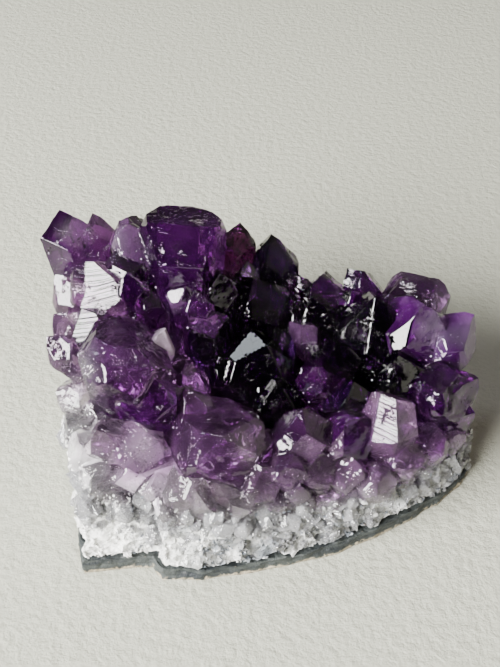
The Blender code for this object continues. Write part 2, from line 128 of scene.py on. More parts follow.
@dataclass(frozen=True)
class Crystal:
    """One point of the cluster.

    The tip and width are in millimetres; the lean is the compass angle that the tip points to and the
    tilt from upright, in degrees. Stripes, veil and wear are strengths from 0 to 1.
    """

    name: str
    tip: Spot
    lean: tuple[float, float]
    width: float
    hue: Hue
    clarity: Clarity = Clarity.GLASSY
    stripes: float = 0.1
    veil: float = 0.35
    wear: float = 0.15

    def axis(self) -> Vector:
        """The direction from foot to tip."""
        return heading(*self.lean)


CRYSTALS = (
    Crystal("outrigger", (-41.4, 27.2, 45.2), (132, 22), 10.6, Hue.PURPLE, veil=0.7),
    Crystal("outrigger_back", (-35.0, 28.6, 43.0), (110, 30), 8.4, Hue.MAUVE),
    Crystal("crown_left", (-27.4, 20.0, 49.6), (190, 16), 11.5, Hue.SMOKY, Clarity.CLOUDY, veil=0.6, wear=0.4),
    Crystal("crown_main", (-15.4, 19.6, 56.5), (60, 8), 16.0, Hue.PURPLE, veil=0.25, wear=0.1),
    Crystal("crown_front", (-18.4, 15.6, 45.5), (260, 12), 12.5, Hue.DEEP),
    Crystal("brown_back", (-5.4, 28.0, 41.5), (70, 24), 8.4, Hue.WINE),
    Crystal("black_peak", (1.6, 27.6, 39.0), (85, 12), 10.4, Hue.HEART),
    Crystal("glitter_block", (13.0, 22.0, 34.5), (70, 14), 11.5, Hue.DEEP, stripes=0.8, wear=0.4),
    Crystal("glitter_side", (6.0, 21.6, 34.0), (100, 10), 9.0, Hue.NIGHT, stripes=1.0, wear=0.8),
    Crystal("back_spike", (17.2, 22.8, 33.6), (150, 48), 6.0, Hue.PURPLE),
    Crystal("grey_face", (17.6, 17.0, 32.4), (230, 14), 6.4, Hue.PURPLE, Clarity.CLOUDY),
    Crystal("right_top", (31.4, 17.6, 38.4), (50, 16), 14.0, Hue.SMOKY),
    Crystal("right_front", (30.4, 7.4, 37.0), (290, 16), 14.0, Hue.PURPLE, Clarity.CLOUDY, veil=0.6),
    Crystal("right_far", (40.4, 8.8, 33.4), (10, 34), 11.5, Hue.PURPLE, Clarity.CLOUDY, veil=0.5),
    Crystal("right_low", (40.6, -2.4, 26.5), (350, 50), 8.6, Hue.DEEP),
    Crystal("right_broken", (35.8, -5.6, 30.4), (300, 26), 12.0, Hue.PURPLE, wear=0.5),
    Crystal("right_lower", (40.2, -5.4, 20.5), (330, 52), 8.6, Hue.PURPLE),
    Crystal("striated_prow", (22.6, -12.8, 33.2), (275, 9), 11.2, Hue.LILAC, stripes=1.0, wear=0.0),
    Crystal("purple_mid", (15.4, -14.0, 28.2), (265, 13), 11.0, Hue.PURPLE),
    Crystal("glassy_cap", (6.8, -15.0, 30.4), (268, 9), 11.4, Hue.MAUVE, stripes=0.6),
    Crystal("front_big", (-9.2, -17.4, 34.8), (262, 11), 18.5, Hue.ORCHID, veil=0.5, wear=0.35),
    Crystal("front_block", (-24.2, -18.4, 30.8), (250, 8), 10.4, Hue.LILAC, veil=0.6),
    Crystal("tower", (-27.0, -7.0, 45.6), (235, 9), 16.0, Hue.MAUVE, veil=0.8, wear=0.4),
    Crystal("tower_side", (-21.8, -11.0, 37.0), (280, 10), 12.0, Hue.PURPLE),
    Crystal("left_edge", (-41.4, 0.8, 35.0), (185, 40), 8.4, Hue.ORCHID, wear=0.15),
    Crystal("bright_left", (-34.4, 11.2, 44.8), (205, 20), 11.6, Hue.MAUVE, stripes=0.7, wear=0.0),
    Crystal("striated_left", (-34.4, 2.4, 39.6), (200, 20), 7.6, Hue.PURPLE, stripes=1.0, wear=0.0),
    Crystal("column", (-26.4, 10.2, 42.5), (215, 8), 6.6, Hue.DEEP),
    Crystal("dark_heart", (-2.6, 2.4, 33.6), (255, 7), 17.0, Hue.HEART, stripes=0.1, wear=0.0),
    Crystal("lavender_dome", (-16.2, 10.6, 42.2), (250, 16), 8.4, Hue.SMOKY, Clarity.CLOUDY, veil=0.7),
    Crystal("lavender_point", (-13.2, 8.6, 39.4), (280, 16), 7.6, Hue.PURPLE),
    Crystal("pebble", (-18.4, -0.4, 37.6), (10, 24), 6.6, Hue.PALE, Clarity.MILKY),
    Crystal("glassy_left", (-12.8, -3.4, 32.6), (20, 20), 8.4, Hue.MAUVE),
    Crystal("dark_right", (21.4, 10.4, 36.4), (240, 8), 17.0, Hue.HEART, wear=0.0),
    Crystal("dark_back", (-2.0, 15.4, 37.0), (250, 12), 13.0, Hue.HEART, wear=0.1),
    Crystal("dark_slope", (-9.0, 13.0, 41.0), (290, 20), 10.0, Hue.HEART, wear=0.1),
    Crystal("plate", (6.8, 8.4, 31.4), (230, 22), 6.4, Hue.SMOKY, Clarity.CLOUDY),
    Crystal("valley_back", (9.6, 14.4, 33.0), (220, 12), 10.0, Hue.HEART, wear=0.1),
    Crystal("valley_right", (13.6, 4.0, 30.4), (215, 14), 10.0, Hue.HEART, wear=0.1),
    Crystal("glassy_right", (11.4, -1.8, 31.0), (280, 18), 9.6, Hue.PURPLE),
    Crystal("valley_floor", (1.6, -4.4, 27.0), (250, 12), 10.0, Hue.HEART, wear=0.1),
    Crystal("valley_prow", (16.6, -4.0, 27.6), (60, 16), 9.6, Hue.HEART, wear=0.1),
    Crystal("valley_side", (25.8, 0.6, 30.4), (240, 18), 10.0, Hue.HEART, wear=0.1),
    Crystal("left_low", (-39.6, -4.6, 28.0), (190, 38), 8.0, Hue.LILAC),
    Crystal("left_lower", (-38.6, -10.4, 24.0), (200, 40), 7.6, Hue.PALE),
    Crystal("left_front", (-35.4, -17.8, 25.6), (225, 34), 8.4, Hue.PALE, Clarity.CLOUDY),
    Crystal("left_shoulder", (-30.4, -18.6, 30.0), (230, 26), 7.8, Hue.LILAC),
    Crystal("left_back", (-41.0, 8.6, 34.0), (180, 38), 8.6, Hue.LILAC),
    Crystal("left_far", (-41.4, 17.4, 36.0), (165, 36), 9.0, Hue.MAUVE, wear=0.0),
    Crystal("column_1", (-25.3, -21.3, 27.2), (255, 15), 10.2, Hue.LILAC),
    Crystal("column_2", (-19.7, -22.3, 25.0), (268, 17), 9.7, Hue.LILAC, Clarity.CLOUDY),
    Crystal("column_3", (-14.1, -24.2, 23.0), (262, 20), 10.2, Hue.PALE),
    Crystal("column_4", (-6.8, -25.0, 22.2), (275, 20), 9.5, Hue.PALE, wear=0.3),
    Crystal("column_5", (-1.0, -22.9, 24.2), (285, 15), 8.9, Hue.LILAC, wear=0.3),
    Crystal("column_6", (4.3, -20.8, 25.8), (280, 14), 9.1, Hue.ORCHID, wear=0.3),
    Crystal("column_7", (9.3, -19.5, 24.8), (285, 15), 9.5, Hue.LILAC, wear=0.3),
    Crystal("column_8", (14.8, -18.9, 23.0), (290, 18), 8.6, Hue.LILAC, wear=0.3),
    Crystal("column_9", (21.0, -18.8, 20.6), (285, 15), 9.1, Hue.LILAC, wear=0.3),
    Crystal("column_10", (26.6, -14.8, 22.6), (300, 18), 9.3, Hue.LILAC, wear=0.3),
    Crystal("column_11", (32.3, -10.6, 21.6), (310, 19), 9.3, Hue.ORCHID, wear=0.3),
    Crystal("column_12", (37.7, -6.6, 18.6), (320, 24), 8.0, Hue.LILAC, wear=0.3),
)


@dataclass(frozen=True)
class Patch:
    """A cloud of another colour inside the crystals, round one spot, in millimetres."""

    centre: Spot
    reach: float
    colour: Colour
    strength: float


PATCHES = (
    Patch((-36.0, -9.0, 36.0), 9.0, (0.46, 0.43, 0.50), 0.8),  # veil down the tower's left face
    Patch((-38.0, 24.0, 42.0), 4.5, (0.50, 0.40, 0.52), 0.6),  # cloudy edge of the outrigger
    Patch((-31.0, 16.0, 46.0), 6.0, (0.24, 0.19, 0.27), 0.4),
    Patch((34.0, 4.0, 34.0), 6.0, (0.30, 0.23, 0.36), 0.35),  # granular cloud in the right-hand points
    Patch((40.0, 6.0, 30.0), 5.0, (0.30, 0.23, 0.35), 0.35),
    Patch((-22.0, -20.0, 27.0), 5.0, (0.66, 0.54, 0.66), 0.7),
    Patch((-11.0, 22.0, 55.0), 6.5, (0.24, 0.13, 0.21), 0.5),  # smoky mauve top of the crown
    Patch((-6.5, 26.0, 37.5), 3.2, (0.24, 0.045, 0.03), 0.6),  # rust at the foot of the brown point
    Patch((-2.0, -20.0, 27.0), 5.5, (0.50, 0.38, 0.47), 0.6),
)


def heading(compass: float, tilt: float) -> Vector:
    """The direction of a compass angle and a tilt from upright.

    Args:
        compass: degrees, counter-clockwise from +X.
        tilt: degrees from straight up.

    Returns:
        A unit vector.
    """
    around, down = math.radians(compass), math.radians(tilt)
    return Vector((math.sin(down) * math.cos(around), math.sin(down) * math.sin(around), math.cos(down)))


def ease(value: np.ndarray | float, low: float, high: float) -> np.ndarray | float:
    """0 below low, 1 above high and a smooth rise between."""
    share = np.clip((value - low) / (high - low), 0.0, 1.0)
    return share * share * (3 - 2 * share)


def milky_height(places: np.ndarray) -> np.ndarray:
    """How far above the white quartz each place lies, in millimetres."""
    return places[:, 2] - (12.5 - 0.12 * places[:, 0])


def rim_share(places: np.ndarray) -> np.ndarray:
    """0 in the middle of the slab and 1 at its rim, for each place."""
    return ease(np.hypot(places[:, 0] / 42.0, places[:, 1] / 28.0), 0.66, 0.92)


class Graph:
    """A short way to write a shader node tree."""

    def __init__(self, tree: bpy.types.NodeTree) -> None:
        """Starts on an existing tree."""
        self.tree = tree

    def add(self, kind: str, inputs: dict | None = None, **settings) -> bpy.types.Node:
        """Adds a node.

        Args:
            kind: Blender's node type, without the ShaderNode in front.
            inputs: values for its sockets, or sockets of other nodes to link to them.
            **settings: the node's own settings.

        Returns:
            The node.
        """
        node = self.tree.nodes.new(kind if kind.startswith("Node") else f"ShaderNode{kind}")
        for name, value in settings.items():
            setattr(node, name, value)
        for name, value in (inputs or {}).items():
            self.feed(node.inputs[name], value)
        return node

    def feed(self, socket: bpy.types.NodeSocket, value: object) -> None:
        """Links a socket to an input, or sets the input's own value."""
        if isinstance(value, bpy.types.NodeSocket):
            self.tree.links.new(value, socket)
        else:
            socket.default_value = value

    def ramp(self, factor: bpy.types.NodeSocket, stops: list[tuple[float, float]]) -> bpy.types.NodeSocket:
        """A grey ramp of (place, value) stops over a factor."""
        node = self.add("ValToRGB", {"Fac": factor})
        marks = node.color_ramp.elements
        for mark, (place, value) in zip(marks, stops):
            mark.position, mark.color = place, (value, value, value, 1)
        for place, value in stops[len(marks):]:
            marks.new(place).color = (value, value, value, 1)
        return node.outputs["Color"]

    def blend(self, factor: object, first: object, second: object, how: str = "MIX") -> bpy.types.NodeSocket:
        """Mixes two colours or colour sockets by a factor."""
        node = self.add("Mix", data_type="RGBA", blend_type=how)
        for place, value in ((0, factor), (6, first), (7, second)):
            self.feed(node.inputs[place], (*value, 1) if isinstance(value, tuple) else value)
        return node.outputs[2]

    def maths(self, operation: str, first: object, second: object = 0.0) -> bpy.types.NodeSocket:
        """A Math node on two values or sockets."""
        return self.add("Math", {0: first, 1: second}, operation=operation).outputs[0]

    def vector(self, operation: str, first: object, second: object) -> bpy.types.NodeSocket:
        """A Vector Math node on two vectors, or on a vector and a scale."""
        other = "Scale" if operation == "SCALE" else 1
        node = self.add("VectorMath", {0: first, other: second}, operation=operation)
        return node.outputs["Value" if operation == "DOT_PRODUCT" else "Vector"]

    def place(self) -> bpy.types.NodeSocket:
        """Places on the piece, in metres."""
        return self.add("TexCoord").outputs["Object"]

    def noise(self, scale: float, detail: float, low: float, high: float) -> bpy.types.NodeSocket:
        """Soft patches as a mask: 0 where the noise is below low and 1 above high."""
        node = self.add("TexNoise", {"Vector": self.place(), "Scale": scale, "Detail": detail, "Roughness": 0.6})
        return self.ramp(node.outputs["Fac"], [(low, 0.0), (high, 1.0)])

    def fill(self, tree: bpy.types.NodeTree, values: dict) -> bpy.types.Node:
        """Places a shader group with values for its inputs."""
        node = self.add("Group", node_tree=tree)
        for name, value in values.items():
            self.feed(node.inputs[name], value)
        return node


def new_group(
    name: str, inputs: dict[str, float], outputs: list[str]
) -> tuple[Graph, bpy.types.Node, Callable[[str, bpy.types.NodeSocket], None]]:
    """An empty shader group with named number inputs and outputs.

    Args:
        name: the group's name.
        inputs: each input's name and usual value.
        outputs: the names of its outputs.

    Returns:
        The graph to write in, its input node, and a function that links a value to an output.
    """
    tree = bpy.data.node_groups.new(name, "ShaderNodeTree")
    for label, usual in inputs.items():
        socket = tree.interface.new_socket(label, in_out="INPUT", socket_type="NodeSocketFloat")
        socket.default_value = usual
    for label in outputs:
        tree.interface.new_socket(label, in_out="OUTPUT", socket_type="NodeSocketFloat")
    graph = Graph(tree)
    given, out = graph.add("NodeGroupInput"), graph.add("NodeGroupOutput")
    return graph, given, lambda label, value: graph.feed(out.inputs[label], value)


def growth_group() -> bpy.types.NodeTree:
    """Growth marks of quartz faces: low hillocks, striations across the growth and small chips."""
    graph, given, put = new_group(
        "growth_marks", {"Along": 0.0, "Stripes": 0.5, "Hillocks": 1.0, "Chips": 0.5}, ["Height", "Chip"]
    )
    place = graph.add("TexCoord").outputs["Object"]
    hills = graph.add("TexNoise", {"Vector": place, "Scale": 420.0, "Detail": 4.0, "Roughness": 0.6})
    lines = graph.add("TexNoise", {"W": given.outputs["Along"], "Scale": 95.0, "Detail": 3.0}, noise_dimensions="1D")
    steps = graph.ramp(lines.outputs["Fac"], [(0.40, 0.0), (0.46, 0.5), (0.54, 0.5), (0.60, 1.0)])
    cells = graph.add("TexVoronoi", {"Vector": place, "Scale": 1300.0})
    chip = graph.ramp(cells.outputs["Distance"], [(0.05, 1.0), (0.30, 0.0)])
    sparse = graph.add("TexNoise", {"Vector": place, "Scale": 170.0, "Detail": 2.0})
    chip = graph.maths("MULTIPLY", chip, graph.ramp(sparse.outputs["Fac"], [(0.52, 0.0), (0.62, 1.0)]))
    total = graph.maths("MULTIPLY", hills.outputs["Fac"], given.outputs["Hillocks"])
    steps = graph.maths("MULTIPLY", steps, graph.maths("POWER", given.outputs["Stripes"], 2.0))
    total = graph.maths("ADD", total, graph.maths("MULTIPLY", steps, 4.0))
    total = graph.maths("SUBTRACT", total, graph.maths("MULTIPLY", chip, given.outputs["Chips"]))
    put("Height", total)
    put("Chip", chip)
    return graph.tree


def cloud_group() -> bpy.types.NodeTree:
    """Cloudy veils inside quartz, as a mask: soft wisps drawn out and bent, and fine bright specks, pale fracture
    flecks painted partly as the glints that they throw.
    """
    graph, given, put = new_group("cloud_veils", {"Amount": 0.5, "Scale": 150.0}, ["Veil", "Speck"])
    place = graph.add("TexCoord").outputs["Object"]
    bend = graph.add("TexNoise", {"Vector": place, "Scale": 110.0, "Detail": 2.0})
    bent = graph.vector("ADD", place, graph.vector("SCALE", bend.outputs["Color"], 0.007))
    wisp = graph.add(
        "TexNoise", {"Vector": bent, "Scale": given.outputs["Scale"], "Detail": 7.0, "Roughness": 0.66}
    )
    veil = graph.ramp(wisp.outputs["Fac"], [(0.47, 0.0), (0.68, 1.0)])
    put("Veil", graph.maths("MULTIPLY", veil, given.outputs["Amount"]))
    # fine specks: pale fracture flecks, partly painted glints
    fine = graph.add("TexNoise", {"Vector": place, "Scale": 2400.0, "Detail": 2.0})
    patch = graph.ramp(wisp.outputs["Fac"], [(0.55, 0.0), (0.66, 1.0)])
    put("Speck", graph.maths("MULTIPLY", graph.ramp(fine.outputs["Fac"], [(0.60, 0.0), (0.68, 1.0)]), patch))
    return graph.tree


def grain_group() -> bpy.types.NodeTree:
    """Sugar-like grains with flat faces, each turned its own way, as a height and a value per grain."""
    graph, given, put = new_group("grain_facets", {"Scale": 1100.0}, ["Height", "Shade"])
    place = graph.add("TexCoord").outputs["Object"]
    cells = graph.add("TexVoronoi", {"Vector": place, "Scale": given.outputs["Scale"]})
    here = graph.vector("SCALE", place, given.outputs["Scale"])
    centre = graph.vector("SCALE", cells.outputs["Position"], given.outputs["Scale"])
    turn = graph.vector("SUBTRACT", cells.outputs["Color"], (0.5, 0.5, 0.5))
    put("Height", graph.vector("DOT_PRODUCT", graph.vector("SUBTRACT", here, centre), turn))
    put("Shade", graph.add("SeparateColor", {"Color": cells.outputs["Color"]}).outputs[0])
    return graph.tree


@dataclass(frozen=True)
class GroupKit:
    """The shader groups that the finishes share."""

    growth: bpy.types.NodeTree
    clouds: bpy.types.NodeTree
    grains: bpy.types.NodeTree

    @classmethod
    def build(cls) -> GroupKit:
        """Builds each group once."""
        return cls(growth_group(), cloud_group(), grain_group())


def new_material(name: str) -> tuple[bpy.types.Material, Graph, bpy.types.Node]:
    """A material with an empty Principled BSDF.

    Args:
        name: the material's name.

    Returns:
        The material, its graph and its Principled BSDF.
    """
    material = bpy.data.materials.new(name)
    material.use_nodes = True
    return material, Graph(material.node_tree), material.node_tree.nodes["Principled BSDF"]


@dataclass(frozen=True)
class CrystalFinish:
    """Quartz that light passes through, tinted point by point, clouded by veils and marked by growth.

    It reads two attributes of the mesh: "tint", a colour whose alpha is the strength of the veils, and
    "growth", whose red is the height along the crystal in decimetres and whose green is the strength
    of its striations.
    """

    name: str
    clear: float
    roughness: float
    veil_colour: Colour
    facet_tilt: float = 0.03
    relief: float = 0.00006
    sparkle: float = 0.6

    def build(self, kit: GroupKit) -> bpy.types.Material:
        """Builds the material from the shared groups.

        Args:
            kit: the shared shader groups.

        Returns:
            The material.
        """
        material, graph, shader = new_material(self.name)
        tint = graph.add("Attribute", attribute_name="tint")
        growth = graph.add("Attribute", attribute_name="growth").outputs["Color"]
        growth = graph.add("SeparateColor", {"Color": growth}).outputs
        veil = graph.fill(kit.clouds, {"Amount": tint.outputs["Alpha"]})
        colour = graph.blend(veil.outputs["Veil"], tint.outputs["Color"], self.veil_colour, "SCREEN")
        # specks mixed towards near white: partly painted glints of inner fractures
        colour = graph.blend(graph.maths("MULTIPLY", veil.outputs["Speck"], tint.outputs["Alpha"]), colour, (0.9, 0.86, 0.9))
        marks = graph.fill(kit.growth, {"Along": growth[0], "Stripes": growth[1]})
        bump = graph.add("Bump", {"Height": marks.outputs["Height"], "Strength": 0.7, "Distance": self.relief})
        mosaic = graph.fill(kit.grains, {"Scale": 420.0})
        facets = graph.add(
            "Bump", {"Height": mosaic.outputs["Height"], "Strength": 1.0, "Distance": self.facet_tilt / 420.0}
        )
        graph.feed(facets.inputs["Normal"], bump.outputs[0])
        sparks = graph.fill(kit.grains, {"Scale": 3400.0}).outputs["Height"]
        pale = graph.add("SeparateColor", {"Color": tint.outputs["Color"]}).outputs["Green"]
        patches = graph.noise(300.0, 5.0, 0.0, 1.0)
        patches = graph.maths("ADD", patches, graph.maths("MULTIPLY", pale, 0.16))
        sparks = graph.maths("MULTIPLY", sparks, graph.ramp(patches, [(0.59, 0.0), (0.62, 1.0)]))
        glints = graph.add("Bump", {"Height": sparks, "Strength": 1.0, "Distance": self.sparkle / 3400.0})
        graph.feed(glints.inputs["Normal"], facets.outputs[0])
        spread = graph.add("MapRange", {"Value": graph.noise(330.0, 3.0, 0.3, 0.7)})
        spread.inputs["To Min"].default_value = self.roughness * 0.3
        spread.inputs["To Max"].default_value = self.roughness * 1.9
        graph.feed(shader.inputs["Base Color"], colour)
        graph.feed(shader.inputs["Normal"], glints.outputs[0])
        graph.feed(shader.inputs["Roughness"], spread.outputs[0])
        shader.inputs["Transmission Weight"].default_value = self.clear
        shader.inputs["IOR"].default_value = 1.544
        return material


@dataclass(frozen=True)
class GranularFinish:
    """White quartz made of small grains, part clear and part milky."""

    name: str
    clear: float
    roughness: float
    grey: Colour = (0.24, 0.26, 0.29)
    rust: Colour = (0.30, 0.12, 0.03)

    def build(self, kit: GroupKit) -> bpy.types.Material:
        """Builds the material from the shared groups.

        Args:
            kit: the shared shader groups.

        Returns:
            The material.
        """
        material, graph, shader = new_material(self.name)
        tint = graph.add("Attribute", attribute_name="tint")
        grains = graph.fill(kit.grains, {"Scale": 1500.0})
        # grey patches and grain shades follow the tint's alpha, which carries the painted shade to the right
        patch = graph.maths("MULTIPLY", graph.noise(170.0, 5.0, 0.48, 0.58), tint.outputs["Alpha"])
        colour = graph.blend(patch, tint.outputs["Color"], self.grey)
        shade = graph.ramp(grains.outputs["Shade"], [(0.0, 0.0), (1.0, 0.3)])
        colour = graph.blend(graph.maths("MULTIPLY", shade, tint.outputs["Alpha"]), colour, self.grey)
        colour = graph.blend(graph.noise(210.0, 4.0, 0.70, 0.74), colour, self.rust)
        bump = graph.add("Bump", {"Height": grains.outputs["Height"], "Strength": 1.0, "Distance": 0.0004})
        graph.feed(shader.inputs["Base Color"], colour)
        graph.feed(shader.inputs["Normal"], bump.outputs[0])
        shader.inputs["Roughness"].default_value = self.roughness
        shader.inputs["Transmission Weight"].default_value = self.clear
        shader.inputs["IOR"].default_value = 1.544
        return material


@dataclass(frozen=True)
class RindFinish:
    """Rough grey-green rock, banded along its edge, with a pale crust at its foot."""

    name: str
    dark: Colour
    light: Colour
    crust: Colour

    def build(self) -> bpy.types.Material:
        """Builds the material."""
        material, graph, shader = new_material(self.name)
        place = graph.add("TexCoord").outputs["Object"]
        layers = graph.add("Mapping", {"Vector": place, "Scale": (110.0, 110.0, 900.0)})
        bands = graph.add("TexNoise", {"Vector": layers.outputs[0], "Scale": 1.0, "Detail": 6.0, "Roughness": 0.65})
        colour = graph.blend(graph.ramp(bands.outputs["Fac"], [(0.38, 0.0), (0.62, 1.0)]), self.dark, self.light)
        speck = graph.add("TexNoise", {"Vector": place, "Scale": 900.0, "Detail": 5.0, "Roughness": 0.7})
        height = graph.add("SeparateXYZ", {0: place}).outputs["Z"]
        foot = graph.add("MapRange", {"Value": height, "From Min": 0.0001, "From Max": 0.0012})
        foot.inputs["To Min"].default_value, foot.inputs["To Max"].default_value = 0.28, 0.0
        crusty = graph.maths("ADD", speck.outputs["Fac"], foot.outputs[0])
        colour = graph.blend(graph.ramp(crusty, [(0.66, 0.0), (0.74, 1.0)]), colour, self.crust)
        bump = graph.add("Bump", {"Height": speck.outputs["Fac"], "Strength": 0.8, "Distance": 0.0005})
        graph.feed(shader.inputs["Base Color"], colour)
        graph.feed(shader.inputs["Normal"], bump.outputs[0])
        shader.inputs["Roughness"].default_value = 0.55
        return material


AMETHYST = CrystalFinish("amethyst", 0.92, 0.030, (0.080, 0.028, 0.095))
CLOUDY_AMETHYST = CrystalFinish("cloudy_amethyst", 0.60, 0.08, (0.15, 0.09, 0.17))
MILKY_AMETHYST = CrystalFinish("milky_amethyst", 0.25, 0.14, (0.22, 0.17, 0.22))
DRUSE = CrystalFinish("druse", 0.85, 0.01, (0.08, 0.04, 0.09), 0.0, sparkle=0.0)
CLEAR_QUARTZ = CrystalFinish("clear_quartz", 0.80, 0.03, (0.30, 0.30, 0.32), 0.10)
WHITE_QUARTZ = GranularFinish("white_quartz", 0.05, 0.15)
SUGAR_QUARTZ = GranularFinish("sugar_quartz", 0.12, 0.04)
ROCK = RindFinish("rind_rock", (0.012, 0.016, 0.020), (0.055, 0.063, 0.060), (0.42, 0.36, 0.26))


def finish_piece(piece: bpy.types.Object, nodes: tuple[str, ...] = ()) -> bpy.types.Object:
    """Ties a piece to the frame.

    Args:
        piece: the finished piece, in place.
        nodes: the solids that it stands for.

    Returns:
        The piece.
    """
    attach(piece, "root")
    if nodes:
        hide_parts(*nodes)
    log.info("%s: %d faces", piece.name, len(piece.data.polygons))
    return piece


def link_object(mesh: bpy.types.Mesh, name: str, *materials: bpy.types.Material) -> bpy.types.Object:
    """Makes an object of a mesh and links it to the scene."""
    for material in materials:
        mesh.materials.append(material)
    made = bpy.data.objects.new(name, mesh)
    bpy.context.scene.collection.objects.link(made)
    return made


def to_mesh(shape: bmesh.types.BMesh, name: str) -> bpy.types.Mesh:
    """Writes a mesh under construction to a mesh, and frees it."""
    mesh = bpy.data.meshes.new(name)
    shape.to_mesh(mesh)
    shape.free()
    return mesh


def refine(shape: bmesh.types.BMesh, longest: float, rounds: int = 6) -> None:
    """Splits edges that are longer than a length, so that the surface can be worked.

    Args:
        shape: the mesh, in metres.
        longest: the length, in metres.
        rounds: how many times to split at most.
    """
    for _ in range(rounds):
        long_edges = [edge for edge in shape.edges if edge.calc_length() > longest]
        if not long_edges:
            break
        bmesh.ops.subdivide_edges(shape, edges=long_edges, cuts=1)
        bmesh.ops.triangulate(shape, faces=[face for face in shape.faces if len(face.verts) > 3])


def vertex_places(mesh: bpy.types.Mesh) -> np.ndarray:
    """The vertices' places in the crystals' own millimetres."""
    places = np.empty(len(mesh.vertices) * 3, np.float32)
    mesh.vertices.foreach_get("co", places)
    return places.reshape(-1, 3) / MM - np.array(PLACE_SHIFT)


def corner_vertices(mesh: bpy.types.Mesh) -> np.ndarray:
    """The vertex number of each face corner."""
    found = np.empty(len(mesh.loops), np.int32)
    mesh.loops.foreach_get("vertex_index", found)
    return found


def write_colours(mesh: bpy.types.Mesh, name: str, values: np.ndarray, domain: str = "CORNER") -> None:
    """Writes a colour attribute from one row of four numbers for each corner or point."""
    layer = mesh.color_attributes.new(name, "FLOAT_COLOR", domain)
    layer.data.foreach_set("color", np.ascontiguousarray(values, np.float32).ravel())


class CrystalTable:
    """The crystals as arrays, for finding which one a place belongs to and what colour it has there."""

    def __init__(self, crystals: tuple[Crystal, ...], patches: tuple[Patch, ...]) -> None:
        """Fills the arrays.

        Args:
            crystals: every named point.
            patches: clouds that change the colour locally.
        """
        self.patches = patches
        self.tips = np.array([crystal.tip for crystal in crystals])
        self.axes = np.array([crystal.axis() for crystal in crystals])
        self.widths = np.array([crystal.width for crystal in crystals])
        self.tip_colours = np.array([crystal.hue.value[0] for crystal in crystals])
        self.body_colours = np.array([crystal.hue.value[1] for crystal in crystals])
        self.clarity = np.array([crystal.clarity.value for crystal in crystals])
        self.stripes = np.array([crystal.stripes for crystal in crystals])
        self.veils = np.array([crystal.veil for crystal in crystals])
        self.veils *= np.clip(self.tip_colours.max(axis=1) / 0.08, 0.0, 1.0)
        self.wear = np.array([crystal.wear for crystal in crystals])

    def below_tip(self, places: np.ndarray, owners: np.ndarray) -> np.ndarray:
        """How far below its crystal's tip each place lies, along the axis, in millimetres."""
        return np.einsum("ij,ij->i", self.tips[owners] - places, self.axes[owners])

    def owners(self, places: np.ndarray, normals: np.ndarray) -> np.ndarray:
        """The number of the crystal that each place belongs to.

        A place fits a crystal when it is no further from the axis than the crystal is wide, and the
        plane through it lies either half a width out and along the axis, or just below the tip.

        Args:
            places: in millimetres.
            normals: which way the surface faces at each.

        Returns:
            One number per place.
        """
        best = np.full(len(places), np.inf)
        found = np.zeros(len(places), np.int32)
        for number, (tip, axis, width) in enumerate(zip(self.tips, self.axes, self.widths)):
            half = width / 2
            below = (tip - places) @ axis
            away = np.linalg.norm(places - tip + below[:, None] * axis, axis=1)
            reach = np.maximum(0, away / half - 1.05) * 2 + away / half * 0.15
            reach += np.maximum(0, below - 2.2 * width) / 12 + np.maximum(0, -below) / 3
            depth = np.einsum("ij,ij->i", normals, tip - places)
            slope = np.abs(normals @ axis)
            side = np.abs(depth + half * 0.96) / half + slope
            top = np.maximum(0, -depth) / half + np.maximum(0, depth - 2.5) / half + np.maximum(0, 0.5 - slope)
            reach += np.minimum(side, top)
            nearer = reach < best
            best[nearer], found[nearer] = reach[nearer], number
        return found

    def colours(self, places: np.ndarray, owners: np.ndarray) -> np.ndarray:
        """The colour at each place, with the strength of its veils as a fourth number."""
        along = ease(self.below_tip(places, owners), 0, 1.5 * self.widths[owners])[:, None]
        colours = self.tip_colours[owners] * (1 - along) + self.body_colours[owners] * along
        veils = self.veils[owners].copy()
        for patch in self.patches:
            near = 1 - ease(np.linalg.norm(places - np.array(patch.centre), axis=1), 0.3 * patch.reach, patch.reach)
            near = (near * patch.strength)[:, None]
            colours = colours * (1 - near) + np.array(patch.colour) * near
        left = ease(-places[:, 0], 24, 36)
        pale = 1 - ease(milky_height(places) - 4 * left, 0.5, 10.0)
        pale = (pale * rim_share(places))[:, None]
        colours = colours * (1 - pale) + np.array((0.92, 0.88, 0.92)) * pale
        veils = np.maximum(veils, pale[:, 0] * 0.4)
        return np.column_stack((colours, veils))


def crevice(mesh: bpy.types.Mesh, reach: float = 6.0, rays: int = 10) -> np.ndarray:
    """How closed in each vertex is, from 0 in the open to 1 deep in a crevice.

    Args:
        mesh: the mesh, in metres.
        reach: how far to look, in millimetres.
        rays: how many directions to look in.

    Returns:
        One value per vertex.
    """
    shape = bmesh.new()
    shape.from_mesh(mesh)
    tree = BVHTree.FromBMesh(shape)
    rng = random.Random(3)
    ways = [Vector((rng.gauss(0, 1), rng.gauss(0, 1), rng.gauss(0, 1))).normalized() for _ in range(rays)]
    values = np.zeros(len(shape.verts), np.float32)
    for number, vert in enumerate(shape.verts):
        start = vert.co + vert.normal * 0.15 * MM
        hits = 0
        for way in ways:
            way = way if way.dot(vert.normal) > 0 else -way
            hits += tree.ray_cast(start, way, reach * MM)[0] is not None
        values[number] = hits / rays
    shape.free()
    return values


